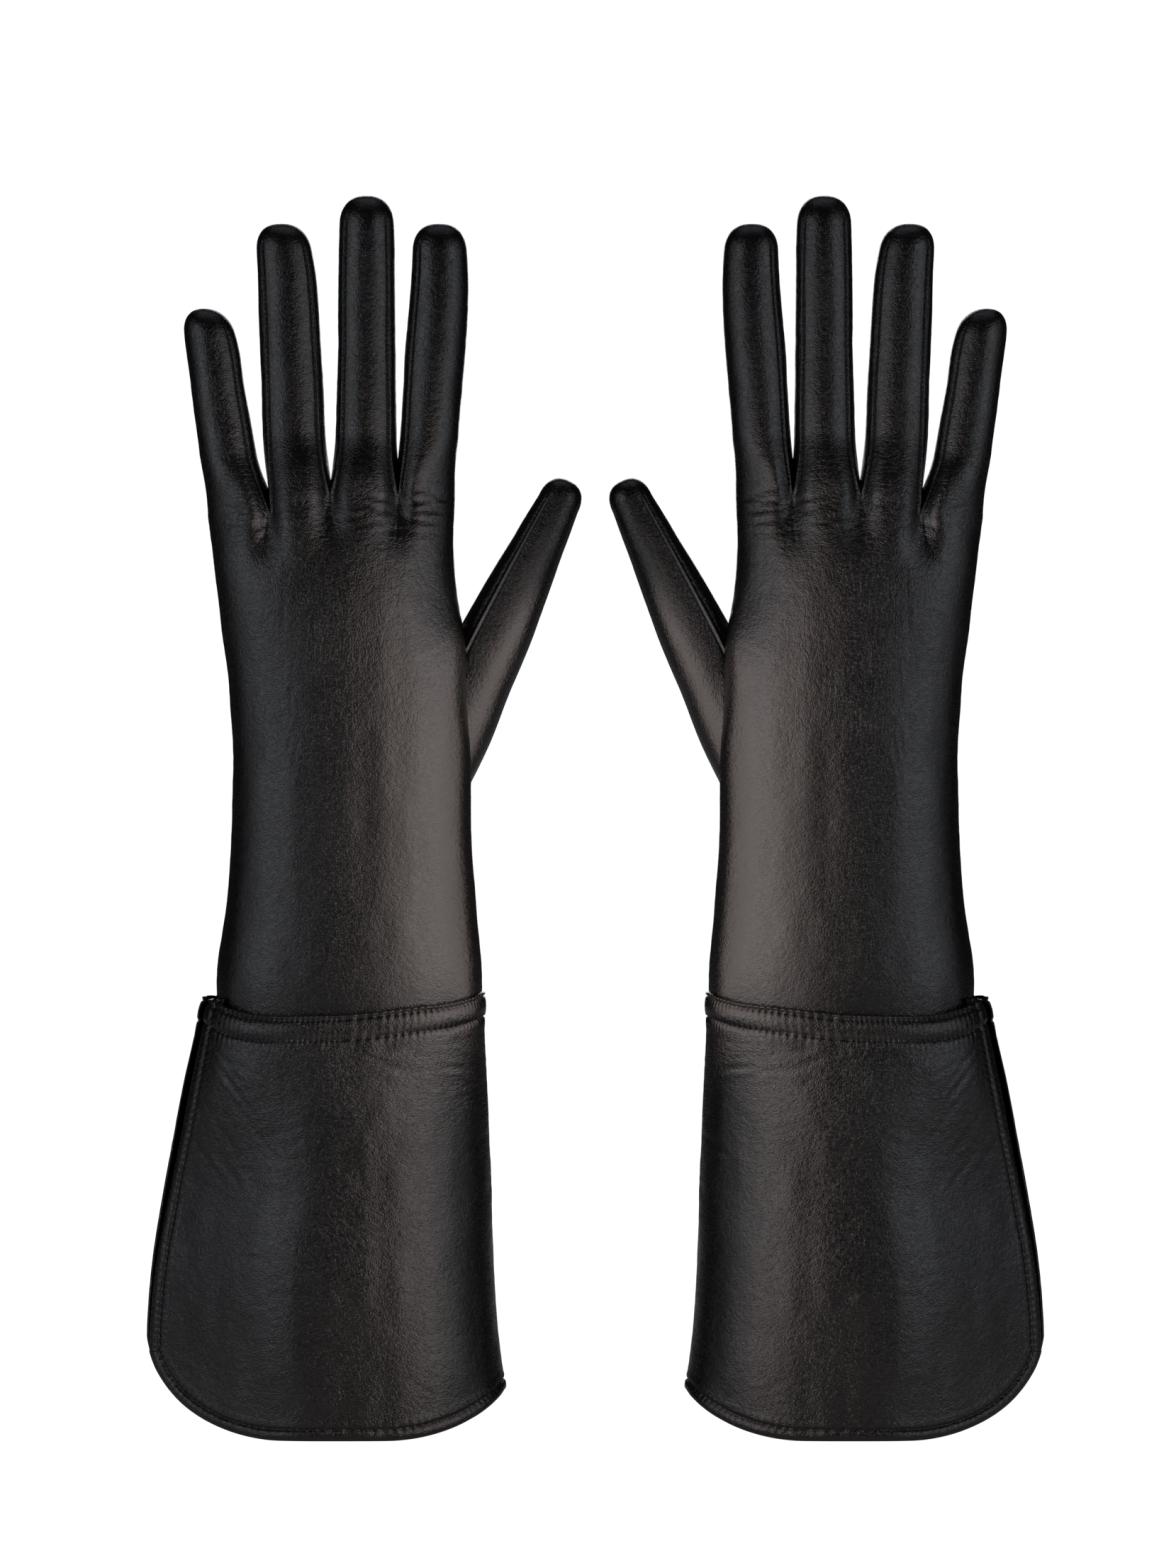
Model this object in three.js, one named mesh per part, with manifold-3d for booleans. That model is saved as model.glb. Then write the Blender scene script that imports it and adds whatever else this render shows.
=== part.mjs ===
// A pair of long leather gauntlet gloves standing on their cuff hems, fingers up.
// Millimetres, +Z up, backs of the hands towards -Y, palms towards +Y.
// Each glove is modelled as the left one, with X = 0 on its middle finger's line and the thumb towards +X,
// and the right glove is its mirror image. The origin is midway between the two, at hem height.
import * as THREE from "three";
import { mergeVertices } from "three/addons/utils/BufferGeometryUtils.js";
import Module from "manifold-3d";

const wasm = await Module();
wasm.setup();

// Materials and clearances
const LEATHER = 1.0;
const FACING = 0.8;
const LINING = 0.5;
const GAP = 0.3; // between neighbouring layers and panels

// Heights of the glove, each measured up from the one before
const CUFF_LENGTH = 137;
const SLEEVE_LENGTH = 68; // cuff top to wrist crease
const HAND_LENGTH = 86.6; // wrist crease to the roots of the fingers
const LITTLE_DROP = 6; // the little finger starts this much lower
const WRIST_FLEX = 26; // height of the ring that creases when the wrist bends
const LINING_STEP = 3; // the lining's own joins lie this far below the leather's
const CUFF_LAP = 15; // the sleeve ends this far below the cuff top
const PAIR_SPACING = 142.6; // between the two middle fingers

const CUFF_TOP = CUFF_LENGTH;
const SLEEVE_END = CUFF_TOP - CUFF_LAP;
const WRIST_Z = CUFF_TOP + SLEEVE_LENGTH;
const KNUCKLE_Z = WRIST_Z + HAND_LENGTH;
const LITTLE_Z = KNUCKLE_Z - LITTLE_DROP;

// Smoothness
const TRUNK_SIDES = 24;
const FINGER_SIDES = 12;
const TRUNK_SQUARENESS = 2.3; // 2 is an ellipse, more is boxier
const FINGER_SQUARENESS = 2.2;

// Fingers: width at the root, then half width w and half depth d above the root and below the tip.
// lean is how far the tip lies sideways of the root, and curl how far it lies towards the palm.
const ROOT_GAP = 0.5; // between the roots of two fingers
const FINGERS = {
  little: { root: 19.7, length: 65, lean: -9.4, curl: 2, w: 8.7, tipW: 8.0, rootD: 10.5, d: 8.0, tipD: 7.2 },
  ring: { root: 18.9, length: 85.5, lean: -5.6, curl: 2, w: 9.9, tipW: 9.0, rootD: 11.8, d: 8.8, tipD: 7.8 },
  middle: { root: 21.1, length: 93.8, lean: 0.6, curl: 2, w: 9.2, tipW: 8.4, rootD: 12.0, d: 9.0, tipD: 8.0 },
  index: { root: 17.5, length: 85.5, lean: 5.0, curl: 2, w: 9.3, tipW: 8.7, rootD: 11.5, d: 8.7, tipD: 7.7 },
};
const TIP_DOME = 9; // height of a fingertip's rounding
const MIDDLE_ROOT_X = -0.45; // centre of the middle finger's root

// Fourchettes: the side strips between the fingers
const FORK_ROOT_HALF = 7;
const FORK_HALF = 4.6;
const FORK_TIP_HALF = 2;
const FORK_BELOW_TIP = 9;

// Thumb: a tapered tube whose root comes out of the palm side of the hand
const THUMB = {
  x: 40.7,
  y: 8,
  aboveWrist: 45,
  lean: THREE.MathUtils.degToRad(25.4),
  length: 52,
  rootLength: 44,
  dome: 8,
};
const THUMB_SECTIONS = [
  { z: -THUMB.rootLength, w: 12.4, d: 12 },
  { z: -20, w: 11.6, d: 11.5 },
  { z: 0, w: 11.1, d: 10.5 },
  { z: 13, w: 10.1, d: 9.5 },
  { z: 33, w: 7.8, d: 8 },
  { z: THUMB.length - THUMB.dome, w: 6.8, d: 7 },
];
const GUSSET_HALF = 5; // half width of the small gusset in the thumb's crotch
const GUSSET_LENGTH = 15;

// Sleeve and hand: half width w and half depth d about a centre x
const rootHalves = Object.values(FINGERS).map((f) => f.root / 2);
const knuckleWidth = 2 * rootHalves.reduce((a, b) => a + b);
const knuckleLeft = MIDDLE_ROOT_X - FINGERS.middle.root / 2 - FINGERS.ring.root - FINGERS.little.root;
const SLEEVE_AT_CUFF = { x: -5.3, w: 40.4, d: 22.5 };
const WRIST = { x: -4.6, w: 36.8, d: 19 };
const PALM_BELOW_KNUCKLE = 43;
const WAIST_BELOW_KNUCKLE = 23;

// Cuff: its top stands off the sleeve, and it flares to the hem
const CUFF_EASE = 2; // room between sleeve and cuff at the cuff top, each side
const CUFF_OFFSET = 1.5; // the cuff top sits this far towards the little finger
const cuffTop = {
  x: SLEEVE_AT_CUFF.x - CUFF_OFFSET,
  w: SLEEVE_AT_CUFF.w + LEATHER + CUFF_EASE,
  d: SLEEVE_AT_CUFF.d + LEATHER + CUFF_EASE,
};
const CUFF = [
  { z: 0, x: -12.2, w: 56.3, d: 30 },
  { z: 0.15 * CUFF_TOP, x: -12.8, w: 55.3, d: 29.8 },
  { z: 0.45 * CUFF_TOP, x: -12.6, w: 52, d: 28.6 },
  { z: SLEEVE_END, x: -8.3, w: 45.6, d: 26.2 },
  { z: CUFF_TOP, ...cuffTop },
];
const HEM_CORNER = { x: -26, rx: 43, rz: 33 }; // the round corner on the little finger's side
const HEM_RISE = { x: 6, rx: 42, rz: 26, end: -0.38 }; // the hem climbs again towards the thumb's side
const VENT = 1.6; // width of the open slit on the little finger's side
const VENT_SIDE = -30; // every part of the cuff beyond this is on the slit's side
const VENT_TOP = 11; // the slit stops this far below the cuff top
const HEM_TURN = 1.5; // the facing ends this far above the hem

// ---------------------------------------------------------------- shapes

// One ring of a tube: a superellipse at height z about (x, y).
function ring({ z, x = 0, y = 0, w, d }, inset, sides, squareness) {
  const points = [];
  const bend = (v) => Math.sign(v) * Math.abs(v) ** (2 / squareness);
  for (let i = 0; i < sides; i++) {
    const a = (2 * Math.PI * i) / sides;
    points.push([x + (w - inset) * bend(Math.cos(a)), y + (d - inset) * bend(Math.sin(a)), z]);
  }
  return points;
}

// A closed body through rings of equal count, from the lowest to the highest.
function loft(rings) {
  const sides = rings[0].length;
  const middle = (points) => [0, 1, 2].map((k) => points.reduce((sum, p) => sum + p[k], 0) / sides);
  const positions = [...rings.flat(), middle(rings[0]), middle(rings.at(-1))];
  const bottom = positions.length - 2;
  const top = positions.length - 1;
  const last = (rings.length - 1) * sides;
  const faces = [];
  for (let i = 0; i < sides; i++) {
    const j = (i + 1) % sides;
    faces.push(bottom, j, i, top, last + i, last + j);
    for (let r = 0; r < last; r += sides) {
      faces.push(r + i, r + j, r + sides + j, r + i, r + sides + j, r + sides + i);
    }
  }
  const geometry = new THREE.BufferGeometry();
  geometry.setAttribute("position", new THREE.Float32BufferAttribute(positions.flat(), 3));
  geometry.setIndex(faces);
  return geometry;
}

// Any closed three.js geometry as a manifold solid.
function solid(geometry) {
  const bare = geometry.clone();
  bare.deleteAttribute("normal");
  bare.deleteAttribute("uv");
  const merged = mergeVertices(bare, 1e-4);
  const vertProperties = new Float32Array(merged.attributes.position.array);
  const triVerts = new Uint32Array(merged.index.array);
  return new wasm.Manifold(new wasm.Mesh({ numProp: 3, vertProperties, triVerts }));
}

function box(x0, x1, y0, y1, z0, z1) {
  const geometry = new THREE.BoxGeometry(x1 - x0, y1 - y0, z1 - z0);
  return solid(geometry.translate((x0 + x1) / 2, (y0 + y1) / 2, (z0 + z1) / 2));
}

// The section of a tube at a height, between its named ones.
function sectionAt(sections, z) {
  const upper = sections.find((s) => s.z >= z) ?? sections.at(-1);
  const lower = [...sections].reverse().find((s) => s.z <= z) ?? sections[0];
  const t = upper === lower ? 0 : (z - lower.z) / (upper.z - lower.z);
  const mix = (key) => (lower[key] ?? 0) * (1 - t) + (upper[key] ?? 0) * t;
  return { z, x: mix("x"), y: mix("y"), w: mix("w"), d: mix("d") };
}

// The solid inside a tube's skin, `inset` below it, from z0 to z1.
function core(sections, z0, z1, inset, sides, squareness) {
  const heights = [z0, ...sections.map((s) => s.z).filter((z) => z > z0 && z < z1), z1];
  return solid(loft(heights.map((z) => ring(sectionAt(sections, z), inset, sides, squareness))));
}

// A tube wall from z0 to z1, its outside `inset` below the skin.
function wall(sections, z0, z1, inset, thickness, sides = TRUNK_SIDES, squareness = TRUNK_SQUARENESS) {
  const outside = core(sections, z0, z1, inset, sides, squareness);
  const inside = core(sections, z0 - 1, z1 + 1, inset + thickness, sides, squareness);
  return outside.subtract(inside);
}

// A tube closed by a round dome, `inset` below its skin: sections up to the shoulder, then the dome.
function domed(sections, z0, dome, inset, sides = FINGER_SIDES) {
  const shoulder = sections.at(-1);
  const rings = [z0, ...sections.map((s) => s.z).filter((z) => z > z0)].map((z) =>
    ring(sectionAt(sections, z), inset, sides, FINGER_SQUARENESS),
  );
  for (const angle of [36, 72]) {
    const a = THREE.MathUtils.degToRad(angle);
    const w = (shoulder.w - inset) * Math.cos(a);
    const d = (shoulder.d - inset) * Math.cos(a);
    const z = shoulder.z + (dome - inset) * Math.sin(a);
    rings.push(ring({ ...shoulder, z, w, d }, 0, sides, FINGER_SQUARENESS));
  }
  return solid(loft(rings));
}

function domedWall(sections, z0, dome, inset, thickness) {
  return domed(sections, z0, dome, inset).subtract(domed(sections, z0 - 1, dome, inset + thickness));
}

// ---------------------------------------------------------------- sleeve, wrist and hand

const TRUNK = [
  {
    z: SLEEVE_END,
    x: CUFF[3].x,
    w: CUFF[3].w - LEATHER - CUFF_EASE,
    d: CUFF[3].d - LEATHER - CUFF_EASE,
  },
  { z: CUFF_TOP, ...SLEEVE_AT_CUFF },
  { z: CUFF_TOP + 0.4 * SLEEVE_LENGTH, x: -4.6, w: 38.8, d: 21 },
  { z: WRIST_Z, ...WRIST },
  { z: KNUCKLE_Z - PALM_BELOW_KNUCKLE, x: -6.4, w: 37.8, d: 17.8 },
  { z: KNUCKLE_Z - WAIST_BELOW_KNUCKLE, x: -9.7, w: 37.3, d: 16 },
  { z: KNUCKLE_Z, x: knuckleLeft + knuckleWidth / 2, w: knuckleWidth / 2, d: 13.2 },
];
const trunkCore = (z0, z1, inset) => core(TRUNK, z0, z1, inset, TRUNK_SIDES, TRUNK_SQUARENESS);

// The thumb lies along its own tilted line.
function tilted(shape) {
  const turn = new THREE.Matrix4().makeRotationY(THUMB.lean);
  turn.setPosition(THUMB.x, THUMB.y, WRIST_Z + THUMB.aboveWrist);
  return shape.transform(turn.elements);
}
const thumbCore = (z0, inset) => domed(THUMB_SECTIONS, z0, THUMB.dome, inset);
const thumbHole = tilted(thumbCore(-THUMB.rootLength, LEATHER + GAP + LINING));

const WRIST_LOW = WRIST_Z - WRIST_FLEX / 2;
const WRIST_HIGH = WRIST_Z + WRIST_FLEX / 2;
const littleRootRight = knuckleLeft + FINGERS.little.root;
const aboveLittle = box(-200, littleRootRight, -100, 100, LITTLE_Z, KNUCKLE_Z + 10);

function sleeve(parts) {
  parts.sleeve = wall(TRUNK, SLEEVE_END, WRIST_LOW, 0, LEATHER);
  parts.sleeve_lining = wall(TRUNK, SLEEVE_END, WRIST_LOW - LINING_STEP, LEATHER + GAP, LINING);
}

function wrist(parts) {
  const low = WRIST_LOW + GAP;
  parts.wrist = wall(TRUNK, low, WRIST_HIGH, 0, LEATHER).subtract(thumbHole);
  parts.wrist_lining = wall(TRUNK, low - LINING_STEP, WRIST_HIGH - LINING_STEP, LEATHER + GAP, LINING)
    .subtract(thumbHole);
}

function hand(parts) {
  const low = WRIST_HIGH + GAP;
  const openings = thumbHole.add(aboveLittle);
  parts.hand = wall(TRUNK, low, KNUCKLE_Z, 0, LEATHER).subtract(openings);
  parts.hand_lining = wall(TRUNK, low - LINING_STEP, KNUCKLE_Z, LEATHER + GAP, LINING).subtract(openings);
}

// ---------------------------------------------------------------- fingers and their fourchettes

// A finger's skin as sections, from its root to the shoulder below its dome.
function fingerSections(f, x, z) {
  const shoulder = f.length - TIP_DOME;
  const along = (share, w, d) => ({
    z: z + share * shoulder,
    x: x + f.lean * share,
    y: f.curl * share,
    w,
    d,
  });
  return [
    along(0, (f.root - ROOT_GAP) / 2, f.rootD),
    along(0.25, f.w, f.d),
    along(1, f.tipW, f.tipD),
  ];
}

// The window that a fourchette fills in one side of a finger, `clear` smaller all round.
function forkWindow(f, x, z, side, clear) {
  const top = f.length - FORK_BELOW_TIP;
  const outline = new THREE.Shape();
  outline.moveTo(-(FORK_ROOT_HALF - clear), -2);
  outline.lineTo(FORK_ROOT_HALF - clear, -2);
  outline.lineTo(FORK_HALF - clear, 0.2 * top);
  outline.lineTo(FORK_TIP_HALF - clear + f.curl, top - clear);
  outline.lineTo(-(FORK_TIP_HALF - clear) + f.curl, top - clear);
  outline.lineTo(-(FORK_HALF - clear), 0.2 * top);
  outline.closePath();
  const depth = 30;
  const prism = new THREE.ExtrudeGeometry(outline, { depth, bevelEnabled: false });
  prism.rotateX(Math.PI / 2).rotateZ(Math.PI / 2); // outline's x to Y and its y to Z, the depth to +X
  const half = f.lean * 0.5;
  return solid(prism.translate(side > 0 ? x + half : x + half - depth, 0, z));
}

function fingers(parts) {
  let left = knuckleLeft;
  for (const [name, f] of Object.entries(FINGERS)) {
    const x = left + f.root / 2;
    left += f.root;
    const z = (name === "little" ? LITTLE_Z : KNUCKLE_Z) + GAP;
    const sections = fingerSections(f, x, z);
    const skin = domedWall(sections, z, TIP_DOME, 0, LEATHER);
    let shell = skin;
    for (const [label, side] of [["ulnar", -1], ["radial", 1]]) {
      if ((name === "little" && side < 0) || (name === "index" && side > 0)) continue; // the outer sides are whole
      shell = shell.subtract(forkWindow(f, x, z, side, 0));
      parts[`${name}_${label}_fourchette`] = skin.intersect(forkWindow(f, x, z, side, GAP));
    }
    parts[`${name}_finger`] = shell;
    parts[`${name}_lining`] = domedWall(sections, z, TIP_DOME, LEATHER + GAP, LINING);
  }
}

// ---------------------------------------------------------------- thumb

function thumb(parts) {
  const outsideHand = trunkCore(CUFF_TOP, KNUCKLE_Z, -GAP);
  const root = domed(THUMB_SECTIONS, -THUMB.rootLength, THUMB.dome, 0)
    .subtract(domed(THUMB_SECTIONS, -THUMB.rootLength - 1, THUMB.dome, LEATHER))
    .subtract(box(-50, 50, -50, 50, -GAP, 100));
  const reach = 30;
  const gussetBox = (clear) =>
    box(-reach, -2 - clear, clear - GUSSET_HALF, GUSSET_HALF - clear, clear - GUSSET_LENGTH, 0);
  parts.thumb_root = tilted(root.subtract(gussetBox(0))).subtract(outsideHand);
  parts.thumb_gusset = tilted(root.intersect(gussetBox(GAP))).subtract(outsideHand);
  parts.thumb = tilted(domedWall(THUMB_SECTIONS, 0, THUMB.dome, 0, LEATHER)).subtract(outsideHand);
  parts.thumb_lining = tilted(domedWall(THUMB_SECTIONS, 0, THUMB.dome, LEATHER + GAP, LINING))
    .subtract(outsideHand);
}

// ---------------------------------------------------------------- gauntlet cuff

// Everything above the hem line, `rise` higher than the hem itself.
function aboveHem(rise) {
  const outline = new THREE.Shape();
  const corner = HEM_CORNER;
  const climb = HEM_RISE;
  outline.moveTo(-100, CUFF_TOP + 50);
  outline.lineTo(-100, corner.rz + rise);
  outline.absellipse(corner.x, corner.rz + rise, corner.rx, corner.rz, Math.PI, 1.5 * Math.PI);
  outline.absellipse(climb.x, climb.rz + rise, climb.rx, climb.rz, -0.5 * Math.PI, climb.end);
  outline.lineTo(100, climb.rz + rise + climb.rz * Math.sin(climb.end));
  outline.lineTo(100, CUFF_TOP + 50);
  outline.closePath();
  const prism = new THREE.ExtrudeGeometry(outline, { depth: 200, bevelEnabled: false, curveSegments: 6 });
  return solid(prism.rotateX(Math.PI / 2).translate(0, 100, 0));
}

function cuff(parts) {
  const slit = box(-200, VENT_SIDE, -VENT / 2, VENT / 2, -10, CUFF_TOP - VENT_TOP);
  parts.cuff = wall(CUFF, 0, CUFF_TOP, 0, LEATHER).intersect(aboveHem(0)).subtract(slit);
  parts.cuff_facing = wall(CUFF, 0, SLEEVE_END - GAP, LEATHER + GAP, FACING)
    .intersect(aboveHem(HEM_TURN))
    .subtract(slit);
}

// ---------------------------------------------------------------- the pair

const parts = {};
for (const make of [sleeve, wrist, hand, fingers, thumb, cuff]) make(parts);

const black = (colour, roughness) => new THREE.MeshStandardMaterial({ color: colour, roughness, metalness: 0 });
const leather = black(0x17171a, 0.42);
const lining = black(0x1d1b20, 0.6);
const finish = (name) => (name.includes("lining") ? lining : leather);

function mesh(name, shape) {
  const { vertProperties, triVerts } = shape.getMesh();
  const geometry = new THREE.BufferGeometry();
  geometry.setAttribute("position", new THREE.BufferAttribute(vertProperties, 3));
  geometry.setIndex(new THREE.BufferAttribute(triVerts, 1));
  geometry.computeVertexNormals();
  const made = new THREE.Mesh(geometry, finish(name));
  made.name = name;
  return made;
}

const pair = new THREE.Group();
for (const [side, mirror] of [["left", 1], ["right", -1]]) {
  const glove = new THREE.Group();
  for (const [name, shape] of Object.entries(parts)) glove.add(mesh(`${side}_${name}`, shape));
  glove.scale.x = mirror;
  glove.position.x = (-mirror * PAIR_SPACING) / 2;
  pair.add(glove);
}

export default pair;
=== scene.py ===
"""A pair of long black leather gauntlet gloves, standing on their hems with the backs of the hands to -Y."""

import itertools
import math

import bpy
import numpy as np
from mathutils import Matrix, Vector


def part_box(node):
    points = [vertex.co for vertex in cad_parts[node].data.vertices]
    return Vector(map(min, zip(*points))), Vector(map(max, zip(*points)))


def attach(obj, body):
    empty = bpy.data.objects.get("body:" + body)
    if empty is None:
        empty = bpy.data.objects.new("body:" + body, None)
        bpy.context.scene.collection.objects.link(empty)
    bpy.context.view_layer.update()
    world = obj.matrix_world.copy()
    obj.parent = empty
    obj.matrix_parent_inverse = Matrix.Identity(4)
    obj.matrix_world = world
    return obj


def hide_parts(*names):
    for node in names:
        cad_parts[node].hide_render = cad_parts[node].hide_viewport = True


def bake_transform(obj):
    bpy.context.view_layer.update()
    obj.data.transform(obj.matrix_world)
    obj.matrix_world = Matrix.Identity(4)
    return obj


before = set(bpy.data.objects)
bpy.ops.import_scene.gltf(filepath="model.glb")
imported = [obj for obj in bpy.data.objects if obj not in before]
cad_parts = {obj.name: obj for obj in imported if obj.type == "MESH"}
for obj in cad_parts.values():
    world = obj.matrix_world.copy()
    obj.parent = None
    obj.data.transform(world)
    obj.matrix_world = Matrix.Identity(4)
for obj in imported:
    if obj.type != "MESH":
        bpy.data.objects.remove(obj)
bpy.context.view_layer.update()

# A glove is built in millimetres as the left one, with x = 0 on its middle finger's line
# and the thumb towards +x.
MM = 0.001


def cad_mm(node):
    """A CAD node's lowest and highest corner, in millimetres."""
    low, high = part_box(node)
    return np.array(low) / MM, np.array(high) / MM


middle_low, middle_high = cad_mm("left_middle_finger")
MIDDLE_FINGER_LEAN = 0.345  # its box's middle lies this far to the little finger's side
GLOVE_X = (middle_low[0] + middle_high[0]) / 2 + MIDDLE_FINGER_LEAN
KNUCKLE_Z = middle_low[2]
LITTLE_Z = cad_mm("left_little_finger")[0][2]
CUFF_TOP = cad_mm("left_cuff")[1][2]
WRIST_LOW = cad_mm("left_wrist")[0][2]
WRIST_HIGH = cad_mm("left_wrist")[1][2]
SLEEVE_LOW = cad_mm("left_sleeve")[0][2]

# ---------------- maths


def smooth(t):
    t = np.clip(t, 0, 1)
    return t * t * (3 - 2 * t)


def curve(knots, at):
    """A smooth curve through (position, value) knots, read at the given positions."""
    x, y = np.array(knots, float).T
    slope = np.gradient(y, x)
    i = np.clip(np.searchsorted(x, at) - 1, 0, len(x) - 2)
    step = x[i + 1] - x[i]
    t = np.clip((at - x[i]) / step, 0, 1)
    return (
        y[i] * (1 + 2 * t) * (1 - t) ** 2
        + slope[i] * step * t * (1 - t) ** 2
        + y[i + 1] * t * t * (3 - 2 * t)
        + slope[i + 1] * step * t * t * (t - 1)
    )


def noise(points, size, seed):
    """Smooth noise between -1 and 1 with features of about that size."""
    cell = np.floor(points / size).astype(np.int64)
    t = smooth(points / size - cell)
    total = np.zeros(len(points))
    for corner in itertools.product((0, 1), repeat=3):
        n = (cell + corner) * (73856093, 19349663, 83492791)
        mixed = n[:, 0] ^ n[:, 1] ^ n[:, 2] ^ (seed * 40503)
        mixed = ((mixed ^ (mixed >> 13)) * 1274126177) & 0xFFFFFFFF
        weight = np.prod(np.where(corner, t, 1 - t), axis=1)
        total += weight * ((mixed >> 8) & 0xFFFF) / 32767.5
    return total - 1


def superellipse(angle, power):
    """Unit (x, y) of a superellipse; -90 degrees is the back of the hand."""
    bend = lambda v: np.sign(v) * np.abs(v) ** (2 / power)
    return np.stack([bend(np.cos(angle)), bend(np.sin(angle))], -1)


def face_of(x, side, power):
    """Unit points at the given x on one face of a superellipse: side -1 is the back of the hand."""
    return np.stack([x, side * (1 - np.abs(x) ** power) ** (1 / power)], -1)


def angle_of(point, power):
    bend = lambda v: np.sign(v) * np.abs(v) ** (power / 2)
    return math.atan2(bend(point[1]), bend(point[0]))


def round_side(start, end, shares, power):
    """Unit points round a side, from one unit point to another."""
    first, last = angle_of(start, power), angle_of(end, power)
    if last < first:
        last += 2 * math.pi
    return superellipse(first + (last - first) * shares, power)


def run_along(points):
    """Distance run along a line of points, at each of them."""
    return np.append(0, np.cumsum(np.linalg.norm(np.diff(points, axis=0), axis=1)))


# ---------------- outline of the hand and sleeve

TRUNK_POWER = 2.3
FINGER_POWER = 2.25
# height, x of the little finger's side, x of the thumb's side, half depth
TRUNK = [
    (SLEEVE_LOW - 4, -45.4, 35.0, 20.8),
    (CUFF_TOP - 6, -46.1, 35.5, 21.6),
    (CUFF_TOP, -46.5, 35.9, 22.0),
    (CUFF_TOP + 28, -43.3, 34.1, 21.0),
    (CUFF_TOP + 62, -41.7, 32.4, 19.4),
    (CUFF_TOP + 72, -41.4, 32.2, 19.0),
    (CUFF_TOP + 90, -42.6, 32.1, 18.4),
    (CUFF_TOP + 108, -44.3, 31.6, 17.8),
    (CUFF_TOP + 124, -46.0, 28.7, 17.0),
    (CUFF_TOP + 140, -47.7, 27.2, 15.6),
    (KNUCKLE_Z, -49.6, 27.4, 13.4),
]
WEBS = [-29.9, -11.0, 10.1]  # x of the points where two fingers part
WEB_Z = [LITTLE_Z, KNUCKLE_Z, KNUCKLE_Z]
WEB_ARCH = 4.0  # the fold between two fingers rises this much inside the glove's thickness
WEB_VALLEY = 3.4  # how far the back of the hand dips at those points
VALLEY_LENGTH = 30  # and how far below them the dip begins
SIDE_START = 0.9  # share of the half width where the rounded outer sides begin


def trunk_at(z, column):
    """One of TRUNK's values as a smooth curve over height."""
    return curve([(row[0], row[column]) for row in TRUNK], z)


def trunk_point(unit, z):
    """Points of the hand's skin for unit section points at heights z."""
    left, right, depth = (trunk_at(z, k) for k in (1, 2, 3))
    x = (left + right) / 2 + (right - left) / 2 * unit[..., 0]
    y = depth * unit[..., 1]
    for web, web_z in zip(WEBS, WEB_Z):
        rise = smooth((z - web_z + VALLEY_LENGTH) / VALLEY_LENGTH) ** 2
        width = 3.0 + 0.16 * np.maximum(web_z - z, 0)
        y = y - np.sign(unit[..., 1]) * WEB_VALLEY * rise * np.exp(-(((x - web) / width) ** 2))
    return np.stack([x, y, z + 0 * x], -1)


# ---------------- fingers

# Each finger's highest point, its shape as (share of length, centre x, half width), its half depths
# by share of length, and which of WEBS lies on its little finger's side and on its thumb's side.
FINGERS = {
    "little": {
        "top": cad_mm("left_little_finger")[1][2],
        "shape": [(0, -41.0, 9.4), (0.2, -42.2, 9.1), (0.6, -46.0, 8.6), (0.8, -47.8, 8.3), (1, -50.3, 7.6)],
        "depths": [(0, 9.6), (0.3, 8.3), (1, 7.4)],
        "edges": (None, 0),
    },
    "ring": {
        "top": cad_mm("left_ring_finger")[1][2],
        "shape": [(0, -21.7, 9.9), (0.25, -22.5, 9.9), (0.5, -23.3, 10), (0.85, -25.2, 9.1), (1, -26.6, 8.2)],
        "depths": [(0, 10.4), (0.3, 9.0), (1, 7.9)],
        "edges": (0, 1),
    },
    "middle": {
        "top": cad_mm("left_middle_finger")[1][2],
        "shape": [(0, -0.2, 9.8), (0.25, 0.0, 9.6), (0.5, 0.0, 9.3), (0.8, 0.1, 8.7), (1, 0.1, 8.1)],
        "depths": [(0, 10.6), (0.3, 9.2), (1, 8.1)],
        "edges": (1, 2),
    },
    "index": {
        "top": cad_mm("left_index_finger")[1][2],
        "shape": [(0, 18.7, 9.3), (0.25, 19.8, 9.2), (0.5, 21.1, 9.2), (0.85, 23.0, 8.8), (1, 22.6, 8.0)],
        "depths": [(0, 10.2), (0.3, 8.9), (1, 7.8)],
        "edges": (2, None),
    },
}
TIP = 9.0  # height of a fingertip's rounding
TIP_POWER = 2.5
FORK_SHOWN = 1.7  # width of a fourchette seen from the front
ROOT_BLEND = 20.0  # a finger's root takes this long to become a tube
CURL = 2.0  # the fingertips lie this far towards the palm

# Shares across a back or palm panel, close together beside its seams, and across a side
HALF_PANEL = [
    0, 0.01, 0.02, 0.03, 0.038, 0.045, 0.052, 0.06, 0.075, 0.097, 0.13, 0.175, 0.23, 0.3, 0.37, 0.435,
]
PANEL = np.array(HALF_PANEL + [0.5] + [1 - t for t in reversed(HALF_PANEL)])
SIDE = np.array([0, 0.022, 0.06, 0.12, 0.2, 0.3, 0.4, 0.5, 0.6, 0.7, 0.8, 0.88, 0.94, 0.978, 1])

# Height of a lapped seam's leather by distance from its edge; the fourchette side is negative
SEAM = [
    (-2.6, 0), (-1.2, -0.15), (-0.2, -0.6), (0, 0.26), (0.3, 0.45),
    (0.75, 0.32), (1.15, -0.5), (1.55, 0.1), (3.2, 0),
]
STITCH_FROM_EDGE = 1.15
SEAM_SIDE = 0.001  # the least distance from the edge, which keeps its sign
SEAM_FADES = 4  # a seam fades in and out over this length
SEAM_ENDS = 4.5  # and ends this far below the fingertip
SHAFT_SHARE = 0.4  # share of a finger's rows where its seams' distances are measured


def seam_lift(distance):
    x, y = np.array(SEAM, float).T
    return np.interp(distance, x, y)


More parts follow.
